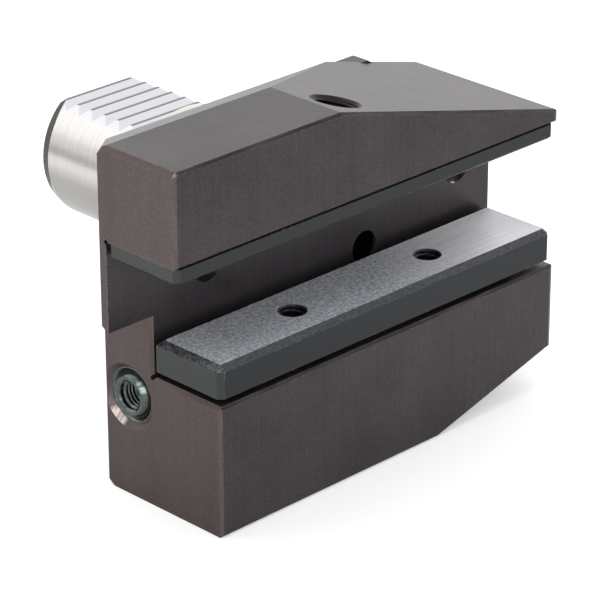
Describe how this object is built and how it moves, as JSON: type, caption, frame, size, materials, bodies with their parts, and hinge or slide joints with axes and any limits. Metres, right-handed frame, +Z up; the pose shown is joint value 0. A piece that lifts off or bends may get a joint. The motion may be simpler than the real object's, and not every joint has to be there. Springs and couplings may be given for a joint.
{
  "type": "vdi tool holder",
  "caption": "Radial overhead turning-tool holder with a serrated round shank, a long tool slot, a clamping bar and a swivelling coolant nozzle.",
  "frame": {"origin": "on the shank's axis, in the flange face that seats on the turret", "axes": "+X along the tool slot towards the tapered nose, +Y along the shank away from the slot, +Z up"},
  "size_m": [0.1, 0.095, 0.074],
  "materials": {
    "holder_steel": "black-oxide case-hardened steel with fine milling lines; the shank is ground bright",
    "bar_steel": "hardened steel, oiled black sides, ground grey top",
    "bright_steel": "polished steel",
    "screw_steel": "black-oxide alloy steel",
    "spring_steel": "spring wire",
    "seal_rubber": "nitrile rubber"
  },
  "bodies": {
    "holder": {"holder_body": "holder_steel", "seat_plate": "bar_steel", "nozzle_ring": "bright_steel", "nozzle_seal": "seal_rubber", "flange_seal": "seal_rubber", "inlet_seal": "seal_rubber", "bore_plug": "screw_steel", "seat_screw_1": "screw_steel", "seat_screw_2": "screw_steel", "pull_spring_1": "spring_steel", "pull_spring_2": "spring_steel"},
    "clamp": {"clamping_bar": "bar_steel", "clamp_screw_1": "screw_steel", "clamp_screw_2": "screw_steel", "clamp_screw_3": "screw_steel", "pull_screw_1": "screw_steel", "pull_screw_2": "screw_steel"},
    "ball": {"nozzle_ball": "bright_steel"}
  },
  "joints": [
    {"name": "clamp_slide", "type": "slide", "parent": "holder", "child": "clamp", "axis": [0, 0, 1], "range_m": [-0.00125, 0.003], "deforming": ["pull_spring_1", "pull_spring_2"]},
    {"name": "nozzle_tilt", "type": "hinge", "parent": "holder", "child": "ball", "pos_m": [-0.05131, -0.0154, -0.0149], "axis": [0, 1, 0], "range_deg": [-15, 15]}
  ]
}
